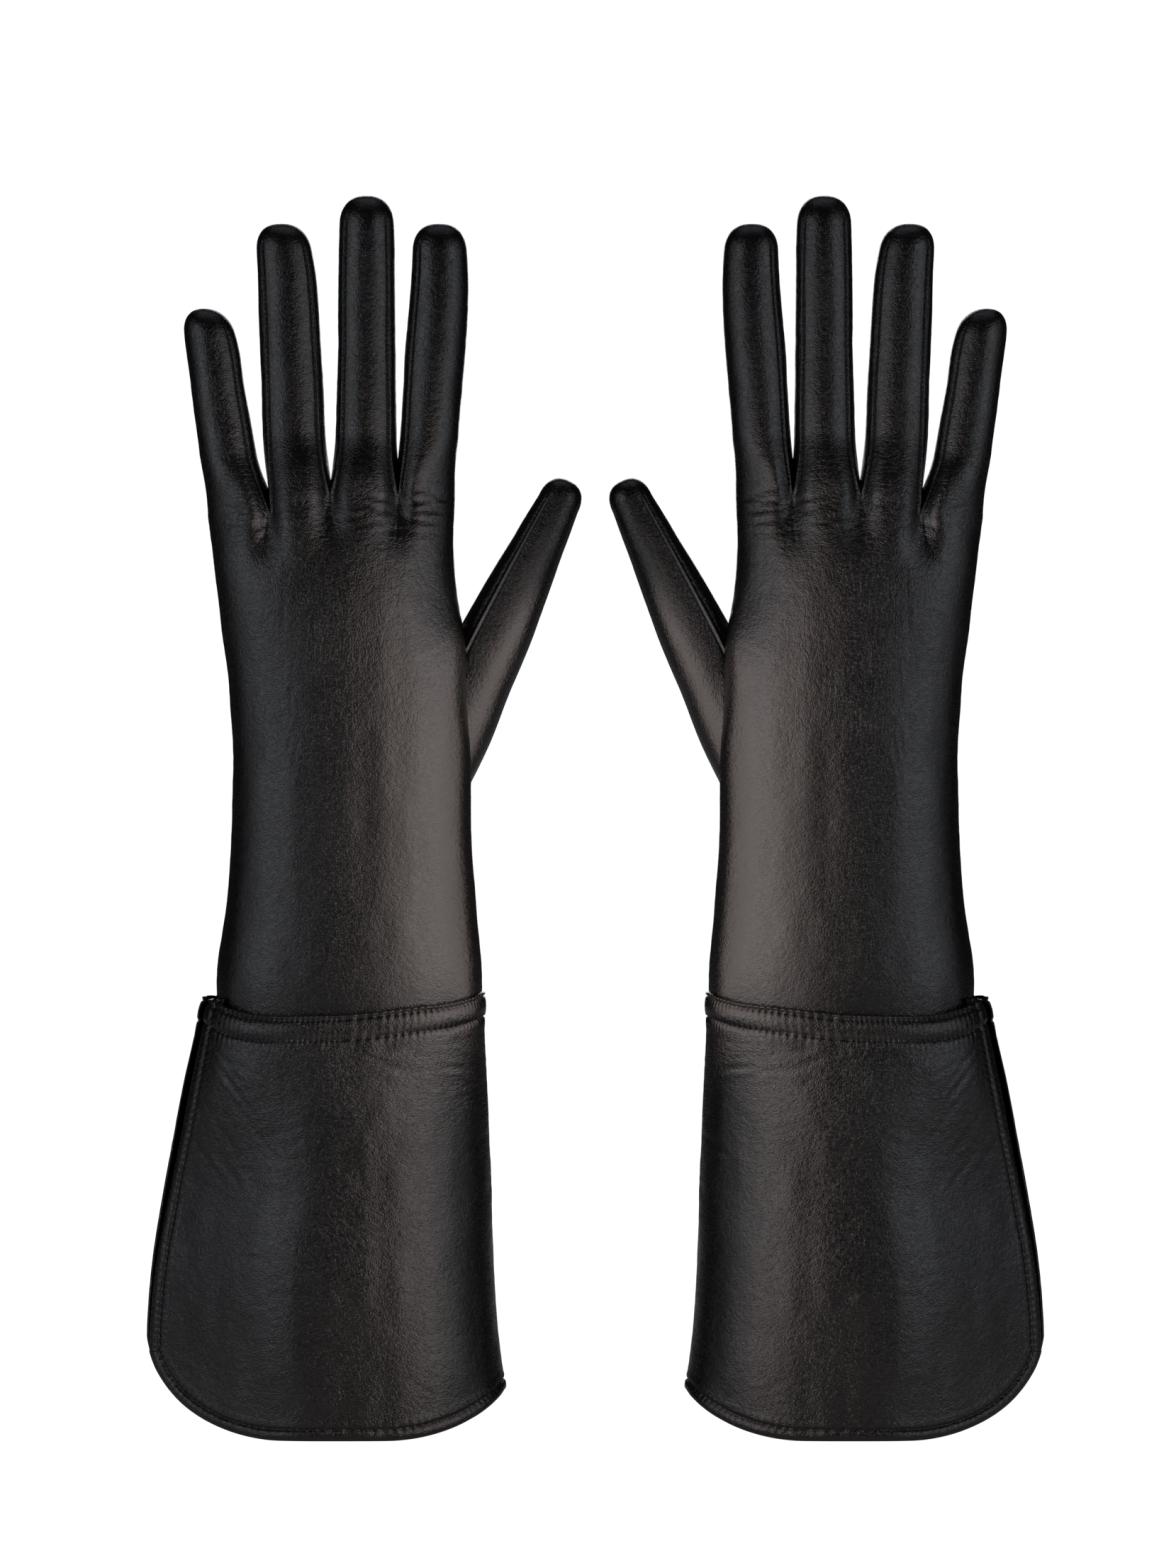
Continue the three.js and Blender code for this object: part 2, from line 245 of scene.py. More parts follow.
def trunk_units():
    """Unit section points of the hand's columns, grouped as the panels that run on into the fingers."""
    centre, half = (TRUNK[-1][1] + TRUNK[-1][2]) / 2, (TRUNK[-1][2] - TRUNK[-1][1]) / 2
    bounds = [-SIDE_START] + [(web - centre) / half for web in WEBS] + [SIDE_START]
    panels = {}
    for i, name in enumerate(FINGERS):
        across = bounds[i] + (bounds[i + 1] - bounds[i]) * PANEL
        panels[name, "back"] = face_of(across, -1, TRUNK_POWER)
        panels[name, "palm"] = face_of(across[::-1], 1, TRUNK_POWER)
    for name, first, last in (("index", "back", "palm"), ("little", "palm", "back")):
        panels[name, "side"] = round_side(panels[name, first][-1], panels[name, last][0], SIDE, TRUNK_POWER)
    return panels


def root_heights(name):
    """Height of a finger's root across its panel, from its little finger side to its thumb side."""
    ends = [LITTLE_Z if name == "little" else KNUCKLE_Z] * 2
    for k, web in enumerate(FINGERS[name]["edges"]):
        if web is not None:
            ends[k] = WEB_Z[web]
    return ends[0] + (ends[1] - ends[0]) * PANEL


UNITS = trunk_units()
RING = [
    ("little", "back"), ("ring", "back"), ("middle", "back"), ("index", "back"), ("index", "side"),
    ("index", "palm"), ("middle", "palm"), ("ring", "palm"), ("little", "palm"), ("little", "side"),
]


def root_line(name, panel):
    """Points where one of the hand's panels ends and the finger's begins."""
    unit = UNITS[name, panel]
    if panel == "side":
        z = np.full(len(unit), LITTLE_Z if name == "little" else KNUCKLE_Z)
    else:
        z = root_heights(name)[:: 1 if panel == "back" else -1]
    return trunk_point(unit, z)


def trunk_grid(name, panel, rows):
    """Grid of one of the hand's panels from inside the cuff up to the fingers' roots."""
    top = root_line(name, panel)[:, 2]
    low = TRUNK[0][0]
    z = low + (top - low)[None, :] * rows[:, None]
    return trunk_point(np.broadcast_to(UNITS[name, panel], z.shape + (2,)), z)


def rounded_rows(shaft, tip):
    """Heights along a shaft and up its rounded tip, and the section's size at each: 1 on the shaft."""
    turn = np.radians(np.linspace(0, 90, 15)[1:])
    rise = tip * np.sin(turn) ** (2 / TIP_POWER)
    shrink = np.clip(np.cos(turn), 0, 1) ** (2 / TIP_POWER)
    return np.append(shaft, shaft[-1] + rise), np.append(np.ones(len(shaft)), shrink)


def finger_panels(name):
    """Grids of a finger's four sides and the height of their seams, as {panel: (grid, lift)}."""
    finger = FINGERS[name]
    base = LITTLE_Z if name == "little" else KNUCKLE_Z
    length = finger["top"] - base
    heights, shrink = rounded_rows(np.linspace(0, length - TIP, int(length - TIP) + 1), TIP)
    share = np.clip(heights / length, 0, 1)
    centre = curve([(s, x) for s, x, _ in finger["shape"]], share)
    half = curve([(s, w) for s, _, w in finger["shape"]], share)
    depth = curve(finger["depths"], share)
    forward = CURL * share**1.5
    seam_x = 1 - FORK_SHOWN / half.mean()
    across = seam_x * (2 * PANEL - 1)
    units = {"back": face_of(across, -1, FINGER_POWER), "palm": face_of(across[::-1], 1, FINGER_POWER)}
    units["right"] = round_side(units["back"][-1], units["palm"][0], SIDE, FINGER_POWER)
    units["left"] = round_side(units["palm"][-1], units["back"][0], SIDE, FINGER_POWER)
    webs = dict(zip(("left", "right"), finger["edges"]))
    seamed = {side: web is not None for side, web in webs.items()}
    result = {}
    for panel, unit in units.items():
        if panel not in webs:
            root = root_line(name, panel)
        elif seamed[panel]:
            back, palm = root_line(name, "back"), root_line(name, "palm")
            start, end = (palm[-1], back[0]) if panel == "left" else (back[-1], palm[0])
            root = start + (end - start) * SIDE[:, None]
            root[:, 2] = WEB_Z[webs[panel]] + WEB_ARCH * 4 * SIDE * (1 - SIDE)
        else:
            root = root_line(name, "side")
        tube = np.empty((len(heights), len(unit), 3))
        scale = shrink[:, None]
        tube[..., 0] = centre[:, None] + half[:, None] * scale * unit[:, 0]
        tube[..., 1] = forward[:, None] + depth[:, None] * scale * unit[:, 1]
        tube[..., 2] = base + heights[:, None]
        h = heights[:, None]
        settle = smooth(h / ROOT_BLEND)
        part = 1 - (1 - np.clip(h / ROOT_BLEND, 0, 1)) ** 2
        sharp = np.full(len(unit), float(seamed.get(panel, False)))
        if panel not in webs:
            toward_right = PANEL if panel == "back" else PANEL[::-1]
            if seamed["right"]:
                sharp = np.maximum(sharp, np.clip(2 * toward_right - 1, 0, 1))
            if seamed["left"]:
                sharp = np.maximum(sharp, np.clip(1 - 2 * toward_right, 0, 1))
        spread = settle + (part - settle) * sharp
        grid = np.empty_like(tube)
        grid[..., 0] = root[:, 0] * (1 - spread) + tube[..., 0] * spread
        grid[..., 1] = root[:, 1] * (1 - settle) + tube[..., 1] * settle
        grid[..., 2] = root[:, 2] + h + (base - root[:, 2]) * settle
        result[panel] = [grid, np.zeros(grid.shape[:2])]
    fade = smooth(heights / SEAM_FADES) * smooth((length - SEAM_ENDS - heights) / SEAM_FADES)
    middle = int(len(heights) * SHAFT_SHARE)
    for panel, (grid, lift) in result.items():
        arc = run_along(grid[middle])
        sign = -1 if panel in webs else 1
        ends = {"back": ("left", "right"), "palm": ("right", "left")}.get(panel, (panel, panel))
        for distance, end in ((arc, ends[0]), (arc[-1] - arc, ends[1])):
            if seamed[end]:
                lift += seam_lift(sign * np.maximum(distance, SEAM_SIDE)) * fade[:, None]
    return result


# ---------------- one smooth skin from many panels


class Skin:
    """Panels that share edges, merged into one surface, and split again into named pieces."""

    def __init__(self):
        self.points, self.lifts, self.quads, self.owner = [], [], [], []
        self.names = []
        self.count = 0

    def add(self, name, grid, lift=None):
        rows, columns = grid.shape[:2]
        index = np.arange(rows * columns).reshape(rows, columns) + self.count
        quads = np.stack([index[:-1, :-1], index[:-1, 1:], index[1:, 1:], index[1:, :-1]], -1).reshape(-1, 4)
        self.points.append(grid.reshape(-1, 3))
        self.lifts.append(np.zeros(rows * columns) if lift is None else lift.ravel())
        self.quads.append(quads)
        if name not in self.names:
            self.names.append(name)
        self.owner.append(np.full(len(quads), self.names.index(name)))
        self.count += rows * columns

    def merge(self, tolerance=0.02):
        points = np.concatenate(self.points)
        places = np.round(points / tolerance).astype(np.int64)
        _, first, inverse = np.unique(places, axis=0, return_index=True, return_inverse=True)
        self.points, self.lifts = points[first], np.concatenate(self.lifts)[first]
        self.quads = inverse.ravel()[np.concatenate(self.quads)]
        self.owner = np.concatenate(self.owner)

    def normals(self):
        p = self.points[self.quads]
        face = np.cross(p[:, 2] - p[:, 0], p[:, 3] - p[:, 1])
        total = np.zeros_like(self.points)
        for k in range(4):
            np.add.at(total, self.quads[:, k], face)
        return total / np.maximum(np.linalg.norm(total, axis=1, keepdims=True), 1e-9)

    def push(self, amount):
        self.points = self.points + self.normals() * amount[:, None]

    def piece(self, name):
        """A piece's own points, faces and normals. A quad with a side of no length becomes a triangle."""
        normals = self.normals()
        quads = self.quads[self.owner == self.names.index(name)]
        used, flat = np.unique(quads, return_inverse=True)
        faces = []
        for quad in flat.reshape(-1, 4).tolist():
            ring = [v for i, v in enumerate(quad) if v != quad[i - 1]]
            if len(set(ring)) >= 3:
                faces.append(ring)
        return self.points[used], faces, normals[used]


# ---------------- creases


def crease(points, start, end, width, depth, side=-1):
    """Lift of a soft crease drawn between two (x, z) points on the back (-1) or palm (+1)."""
    a, b = np.array(start, float), np.array(end, float)
    flat = points[:, [0, 2]]
    along = b - a
    t = np.clip(((flat - a) @ along) / (along @ along), 0, 1)
    distance = np.linalg.norm(flat - a - t[:, None] * along, axis=1) / width
    taper = np.sin(np.pi * np.clip(t, 0.04, 0.96)) ** 0.7
    valley = np.exp(-(distance**2)) - 0.45 * np.exp(-((distance - 1.6) ** 2))
    return -depth * taper * valley * (points[:, 1] * side > 0)


def level_crease(points, rng, x, z, reach, tilt, width, depth, side=-1):
    """Lift of a nearly level crease about (x, z), whose reach, tilt and depth are drawn at random."""
    reach, tilt = rng.uniform(*reach), rng.normal(*tilt)
    return crease(points, (x - reach, z - tilt), (x + reach, z + tilt), width, rng.uniform(*depth), side)


# Folds of the back's leather near the fingers' roots: (x, z) from and to, depth
ROOT_FOLDS = [
    ((10.5, 289.6), (2.5, 291.2), 0.4), ((11, 288.6), (3, 286.6), 0.3), ((11.5, 289.4), (20, 290.2), 0.45),
    ((13, 287.6), (26, 286.4), 0.5), ((16, 284.8), (27, 282.8), 0.25), ((19, 292.5), (27, 290), 0.3),
    ((-30, 283.2), (-40, 280.6), 0.25), ((-29, 283.4), (-20, 281.4), 0.2), ((20, 270.5), (27, 271.6), 0.2),
]


def hand_creases(points):
    """Lift of the leather's creases on the hand: fans at the webs, knuckle wrinkles, drags on the sleeve."""
    rng = np.random.default_rng(11)
    lift = np.zeros(len(points))
    for web, web_z in zip(WEBS, WEB_Z):
        for side in (-1, 1):
            for angle in np.radians([-152, -128, -108, -90, -71, -50, -27]):
                turn = angle + rng.normal(0, 0.07)
                reach = rng.uniform(9, 17)
                away = np.array([math.cos(turn), math.sin(turn)])
                start = np.array([web, web_z]) + away * 1.0
                lift += crease(points, start, start + away * reach, 0.6, rng.uniform(0.06, 0.15), side)
    for start, end, depth in ROOT_FOLDS:
        lift += crease(points, start, end, 0.9, depth)
    for centre, spread, count in ((19, 7, 9), (1, 7, 5), (-21, 7, 3), (-41, 6, 3)):
        for _ in range(count):
            x = centre + rng.normal(0, spread * 0.5)
            z = KNUCKLE_Z - 4 + rng.normal(0, 5)
            lift += level_crease(points, rng, x, z, (4, 8), (0, 1.2), 0.7, (0.1, 0.28))
    for _ in range(34):
        x, z = rng.uniform(-36, 26), rng.uniform(WRIST_HIGH - 4, KNUCKLE_Z - 16)
        reach, tilt = rng.uniform(6, 15), rng.normal(0, 1.6)
        lift += crease(points, (x - tilt, z - reach), (x + tilt, z + reach), 0.8, rng.uniform(0.02, 0.05))
    for _ in range(16):
        x, z = rng.choice([-34, 25]) + rng.normal(0, 4), rng.uniform(CUFF_TOP + 10, KNUCKLE_Z - 20)
        lift += level_crease(points, rng, x, z, (3, 8), (0, 2.5), 0.7, (0.05, 0.14))
    return lift


def leather_swell(points, seed):
    """Slow unevenness of stuffed leather."""
    return (
        0.45 * noise(points, 26, seed)
        + 0.16 * noise(points * (1.6, 1.6, 0.8), 9, seed + 1)
        + 0.05 * noise(points * (1, 1, 1.7), 3.2, seed + 2)
    )


# ---------------- thumb

THUMB_LEAN = math.radians(25.4)
THUMB_BASE = np.array([40.7, 8.0, CUFF_TOP + 113])
THUMB_AXIS = np.array([math.sin(THUMB_LEAN), 0, math.cos(THUMB_LEAN)])
THUMB_ACROSS = np.array([math.cos(THUMB_LEAN), 0, -math.sin(THUMB_LEAN)])
# distance along the thumb from the base of its stall, half width, half depth
THUMB = [
    (-52, 12.6, 10.5), (-34, 12.8, 11.8), (-15, 11.7, 11.4), (0, 11.1, 10.6),
    (13, 10.1, 9.6), (33, 7.9, 8.1), (44, 6.7, 7.0),
]
THUMB_LENGTH = 52
THUMB_TIP = 8
THUMB_SEAM = -0.58  # x of the thumb's seams, in half widths
THUMB_SEAM_SHARES = np.array([0, 0.008, 0.016, 0.025, 0.034, 0.04, 0.046, 0.053, 0.065, 0.085])
THUMB_PANEL = np.concatenate([THUMB_SEAM_SHARES, np.linspace(0.11, 0.89, 27), 1 - THUMB_SEAM_SHARES[::-1]])
THUMB_ROWS = 96  # rows of points up to the thumb's tip
THUMB_SHAFT_ROW = 60  # the row where its seams' distances are measured
THUMB_STALL_ROW = 52  # its lining begins here
THUMB_SEAM_ENDS = 5  # its seams fade out over this length, and end this far below its tip
THUMB_CUT = -0.16  # what is further inside the hand than this share of its section is left out


def trunk_depth_inside(points):
    """How far points are inside the hand's skin: above 0 outside, below 0 inside, in section shares."""
    z = np.clip(points[..., 2], TRUNK[0][0], TRUNK[-1][0])
    left, right, depth = (trunk_at(z, k) for k in (1, 2, 3))
    x = (points[..., 0] - (left + right) / 2) / ((right - left) / 2)
    return (np.abs(x) ** TRUNK_POWER + np.abs(points[..., 1] / depth) ** TRUNK_POWER) ** (1 / TRUNK_POWER) - 1


def thumb_panels():
    """Grids of the thumb's two panels and the height of their seams, as {panel: (grid, lift)}."""
    shaft = np.linspace(THUMB[0][0], THUMB_LENGTH - THUMB_TIP, THUMB_ROWS)
    along, shrink = rounded_rows(shaft, THUMB_TIP)
    half = curve([(t, w) for t, w, _ in THUMB], along)
    depth = curve([(t, d) for t, _, d in THUMB], along)
    back_seam, palm_seam = (face_of(np.array([THUMB_SEAM]), side, FINGER_POWER)[0] for side in (-1, 1))
    units = {
        "main": round_side(back_seam, palm_seam, THUMB_PANEL, FINGER_POWER),
        "strip": round_side(palm_seam, back_seam, SIDE, FINGER_POWER),
    }
    fade = smooth((THUMB_LENGTH - THUMB_SEAM_ENDS - along) / THUMB_SEAM_ENDS)
    result = {}
    for panel, unit in units.items():
        x = half[:, None] * shrink[:, None] * unit[:, 0]
        y = depth[:, None] * shrink[:, None] * unit[:, 1]
        grid = THUMB_BASE + THUMB_AXIS * along[:, None, None] + THUMB_ACROSS * x[..., None]
        grid[..., 1] += y
        arc = run_along(grid[THUMB_SHAFT_ROW])
        sign = 1 if panel == "main" else -1
        lift = sum(seam_lift(sign * np.maximum(d, SEAM_SIDE)) for d in (arc, arc[-1] - arc)) * fade[:, None]
        result[panel] = (grid, lift + 0 * x)
    return result


# ---------------- gauntlet cuff

# height, x of the little finger's side, x of the thumb's side, half depth
CUFF = [
    (0, -69.1, 44.6, 29.4),
    (15, -69.2, 43.2, 29.4),
    (33, -68.8, 41.1, 29.2),
    (60, -66.0, 39.4, 28.4),
    (94, -60.0, 38.1, 26.8),
    (112, -56.6, 37.4, 25.8),
    (126, -53.7, 37.0, 24.8),
    (CUFF_TOP + 2, -50.6, 36.9, 24.2),
]
# the front panel stops this far inside the back one, by height
FRONT_SHORT = [(0, 0.9), (33, 1.2), (94, 2.6), (CUFF_TOP + 2, 2.4)]
# height of the front above the cuff's middle plane by unit x, which flattens towards the free edge
CUFF_FACE = [
    (-1, 0.07), (-0.93, 0.18), (-0.85, 0.28), (-0.7, 0.47), (-0.5, 0.71),
    (-0.3, 0.9), (-0.15, 0.98), (0, 1), (0.15, 0.98),
]
CUFF_SQUARE = 0.82  # how full the section is towards the thumb side's fold: 1 is an ellipse
CUFF_HUGS = (70, 50)  # the cuff begins to fit round the sleeve at this height, over this length
# how the hem climbs to its round corner and on the thumb's side: x where it begins, width, height
HEM_CORNER = (-26, 43, 33)
HEM_RISE = (6, 42, 26)
# height of the cuff's top edge over CUFF_TOP by x
CUFF_DIP = [
    (-60, 0), (-50, -0.6), (-47.4, -1.5), (-44.6, -2.7), (-12, -5.8),
    (15, -3.4), (31, -1.2), (35, 0.1), (38, 1.5),
]
STITCH_IN = 3.6  # the topstitching's distance from the turned edges
PITCH = 2.16  # 12 stitches to the inch
STITCH_LENGTH, THREAD_THICK = 1.6, 0.45
CUFF_ROUND = 236.0  # length round the cuff from one free edge to the other
FACING_DEPTH = 1.7  # the facing lies this far under the cuff's outer face
FACING_THICK, FACING_ABOVE_HEM, FACING_BELOW_SLEEVE = 0.8, 2.0, 1.5
# the turned edge from inside to outside, as distance from the edge and height of the leather
TURNED_EDGE = [
    (5.0, -1.25), (2.4, -1.3), (0.9, -1.25), (0.25, -1.1), (0, -0.72), (0.12, -0.3), (0.4, 0.08),
    (0.9, 0.4), (1.7, 0.5), (2.6, 0.4), (3.2, 0.0), (3.6, -0.6), (4.0, -0.08), (4.7, 0.22), (6.2, 0),
]
# the band at the top from its edge down, as distance and height: two rows of stitching, padding between
BAND = [
    (0, -1.1), (0.15, -0.3), (0.5, 0.2), (0.9, 0.1), (1.4, -0.6), (1.9, 0.1), (3, 0.5), (4.5, 0.65), (6, 0.5),
    (7.2, 0.15), (7.7, -0.7), (8.2, 0.0), (9.5, 0.2), (12, 0),
]
BAND_ROWS = (1.4, 7.7)
BAND_PUCKER, EDGE_PUCKER = (0.26, 1.2), (0.2, 1.1)  # height and width of the puckers at stitches
CUFF_COLUMNS, EDGE_ROWS, FIELD_ROWS = 440, 200, 136


def hem_height(x):
    """Height of the cuff's hem at x."""
    corner, rise = HEM_CORNER, HEM_RISE
    left = np.clip((corner[0] - x) / corner[1], 0, 1)
    right = np.clip((x - rise[0]) / rise[1], 0, 0.97)
    return corner[2] * (1 - np.sqrt(1 - left**2)) + rise[2] * (1 - np.sqrt(1 - right**2))


def cuff_point(around, z):
    """A point of the cuff. around runs 0 to 1 from the front panel's free edge round the thumb's side
    to the back panel's free edge."""
    front = around < 0.5
    u = np.where(front, around, 1 - around)
    left, right, depth = (curve([(row[0], row[k]) for row in CUFF], z) for k in (1, 2, 3))
    left = left + np.where(front, curve(FRONT_SHORT, z), 0)
    centre, half = (left + right) / 2, (right - left) / 2
    flat = np.clip(u / 0.25, 0, 1) - 1
    turn = np.clip((u - 0.25) / 0.25, 0, 1) * np.pi / 2
    x = np.where(u < 0.25, flat, np.sin(turn) ** CUFF_SQUARE)
    hugging = smooth((z - CUFF_HUGS[0]) / CUFF_HUGS[1])
    snug = np.maximum(1 - np.abs(flat) ** TRUNK_POWER, 0.004) ** (1 / TRUNK_POWER)
    face = curve(CUFF_FACE, flat) * (1 - hugging) + snug * hugging
    y = np.where(u < 0.25, face, np.cos(turn) ** CUFF_SQUARE)
    return np.stack([centre + half * x, depth * y * np.where(front, -1, 1), z + 0 * x], -1)


def cuff_place(flat):
    """Points and outward directions of the cuff for (arc, height) positions."""
    around, z = np.clip(flat[..., 0] / CUFF_ROUND, 0.0005, 0.9995), flat[..., 1]
    d = 0.002
    across = cuff_point(np.clip(around + d, 0, 1), z) - cuff_point(np.clip(around - d, 0, 1), z)
    up = cuff_point(around, z + 1) - cuff_point(around, z - 1)
    out = np.cross(across, up)
    out /= np.linalg.norm(out, axis=-1, keepdims=True)
    return cuff_point(around, z), out


def cuff_edge(around):
    """Lowest height at each place around the cuff."""
    z = np.full(around.shape, 10.0)
    for _ in range(12):
        z = 0.5 * z + 0.5 * hem_height(cuff_point(around, z)[..., 0])
    return z


def cuff_top_at(arc):
    """Height of the cuff's top edge, which dips at the middle."""
    around = np.clip(arc / CUFF_ROUND, 0, 1)
    return CUFF_TOP + curve(CUFF_DIP, cuff_point(around, np.full(around.shape, CUFF_TOP))[..., 0])


def cuff_outline(columns, rows):
    """The cuff's free edges and hem as (arc, height), down one edge and up the other, and the hem's part."""
    corner = 0.25 * np.linspace(0, 1, columns // 4) ** 1.35
    half = np.concatenate([corner, np.linspace(0.25, 0.5, columns // 4)[1:]])
    around = np.concatenate([half, 1 - half[::-1][1:]])
    bottom = cuff_edge(around)
    hem = np.stack([around * CUFF_ROUND, bottom], 1)
    left = np.linspace(cuff_top_at(np.array([0.0]))[0], bottom[0], rows)[:-1]
    right = np.linspace(bottom[-1], cuff_top_at(np.array([CUFF_ROUND]))[0], rows)[1:]
    edges = [np.stack([np.full(rows - 1, arc), z], 1) for arc, z in ((0, left), (CUFF_ROUND, right))]
    return np.concatenate([edges[0], hem, edges[1]]), slice(rows - 1, rows - 1 + len(hem))


def inward(edge):
    """Unit directions into the panel from a line of (arc, height) points that has the panel on its left."""
    along = np.gradient(edge, axis=0)
    along /= np.linalg.norm(along, axis=1, keepdims=True)
    return np.stack([-along[:, 1], along[:, 0]], 1)


def cuff_lift(flat, turned):
    """Height of the cuff's leather: its band, its turned edge and the swell and creases between."""
    below = cuff_top_at(flat[..., 0]) - flat[..., 1]
    band_x, band_y = np.array(BAND, float).T
    band = np.interp(below, band_x, band_y)
    pucker = np.cos(2 * np.pi * flat[..., 0] / PITCH)
    high, wide = BAND_PUCKER
    for row in BAND_ROWS:
        band = band + high * pucker * np.exp(-(((below - row) / wide) ** 2))
    points = cuff_place(flat)[0].reshape(-1, 3)
    free = 1.1 * leather_swell(points, 21) + cuff_creases(points)
    return band + turned + free.reshape(band.shape)


def build_cuff():
    """The cuff's skin, and the line along which its edges are stitched."""
    skin = Skin()
    edge, hem = cuff_outline(CUFF_COLUMNS, EDGE_ROWS)
    direction = inward(edge)
    step, height = np.array(TURNED_EDGE, float).T
    border = edge + direction * step[:, None, None]
    border[..., 0] = np.clip(border[..., 0], 0, CUFF_ROUND)
    foot = border[-1, hem]
    top = cuff_top_at(foot[:, 0])
    below = np.array([d for d, _ in BAND])[::-1]
    t = np.linspace(0, 1, FIELD_ROWS)[:, None]
    rows = np.concatenate([foot[:, 1] + (top - below[0] - foot[:, 1]) * t, top - below[1:, None]])
    field = np.stack([np.broadcast_to(foot[:, 0], rows.shape), rows], -1)
    high, wide = EDGE_PUCKER
    pucker = high * np.cos(2 * np.pi * run_along(edge) / PITCH)
    pucker = pucker * np.exp(-(((step[:, None] - STITCH_IN) / wide) ** 2))
    for flat, turned in ((border, height[:, None] + pucker), (field, 0)):
        place, out = cuff_place(flat)
        skin.add("cuff", place + out * cuff_lift(flat, turned)[..., None])
    skin.merge()
    seat = step.tolist().index(STITCH_IN)
    return skin, border[seat]


def build_facing():
    """The facing, which lines the cuff's inside from its hem to where the sleeve begins."""
    edge, hem = cuff_outline(160, 60)
    foot = (edge + inward(edge) * FACING_ABOVE_HEM)[hem][2:-2]
    t = np.linspace(0, 1, 50)[:, None]
    rows = foot[:, 1] + (SLEEVE_LOW - FACING_BELOW_SLEEVE - foot[:, 1]) * t
    flat = np.stack([np.broadcast_to(foot[:, 0], rows.shape), rows], -1)
    place, out = cuff_place(flat)
    swell = 0.5 * leather_swell(place.reshape(-1, 3), 33).reshape(rows.shape)
    skin = Skin()
    skin.add("facing", place - out * (FACING_DEPTH - np.minimum(swell, 0.2))[..., None])
    skin.merge()
    return skin


def cuff_creases(points):
    """Lift of the cuff's creases: under its band, slanting near the slit, and slight ones below."""
    rng = np.random.default_rng(5)
    lift = np.zeros(len(points))
    for side in (-1, 1):
        for _ in range(22):
            x, z = rng.uniform(-44, 30), CUFF_TOP - 17 + rng.normal(0, 4.5)
            lift += level_crease(points, rng, x, z, (5, 14), (-1.5, 2.2), 0.9, (0.06, 0.2), side)
        for _ in range(16):
            x, z = rng.uniform(-52, -30), rng.uniform(80, CUFF_TOP - 16)
            reach = rng.uniform(6, 14)
            start, end = (x - 0.7 * reach, z + reach), (x + 0.7 * reach, z - reach)
            lift += crease(points, start, end, 1.0, rng.uniform(0.04, 0.11), side)
        for _ in range(20):
            x, z = rng.uniform(-58, 36), rng.uniform(15, 100)
            lift += level_crease(points, rng, x, z, (4, 12), (0, 3), 1.1, (0.03, 0.1), side)
    return lift


# ---------------- making Blender pieces


def put_in_scene(name, data):
    made = bpy.data.objects.new(name, data)
    bpy.context.scene.collection.objects.link(made)
    return made


def make_mesh(name, points, faces, normals, mirror, material):
    """A mesh object of one glove's piece, mirrored for the right glove."""
    world = points.copy()
    world[:, 0] = mirror * (points[:, 0] + GLOVE_X)
    turned = normals.copy()
    turned[:, 0] *= mirror
    if mirror < 0:
        faces = [face[::-1] for face in faces]
    mesh = bpy.data.meshes.new(name)
    mesh.from_pydata((world * MM).tolist(), [], faces)
    mesh.polygons.foreach_set("use_smooth", [True] * len(mesh.polygons))
    mesh.update()
    mesh.normals_split_custom_set_from_vertices(turned.tolist())
    mesh.materials.append(material)
    return put_in_scene(name, mesh)


def make_path(name, points, mirror):
    """A bare line of points, for a row of stitching."""
    world = np.array(points, float)
    world[:, 0] = mirror * (world[:, 0] + GLOVE_X)
    mesh = bpy.data.meshes.new(name)
    mesh.from_pydata((world * MM).tolist(), [(i, i + 1) for i in range(len(world) - 1)], [])
    return put_in_scene(name, mesh)


# ---------------- rows of stitching by Geometry Nodes


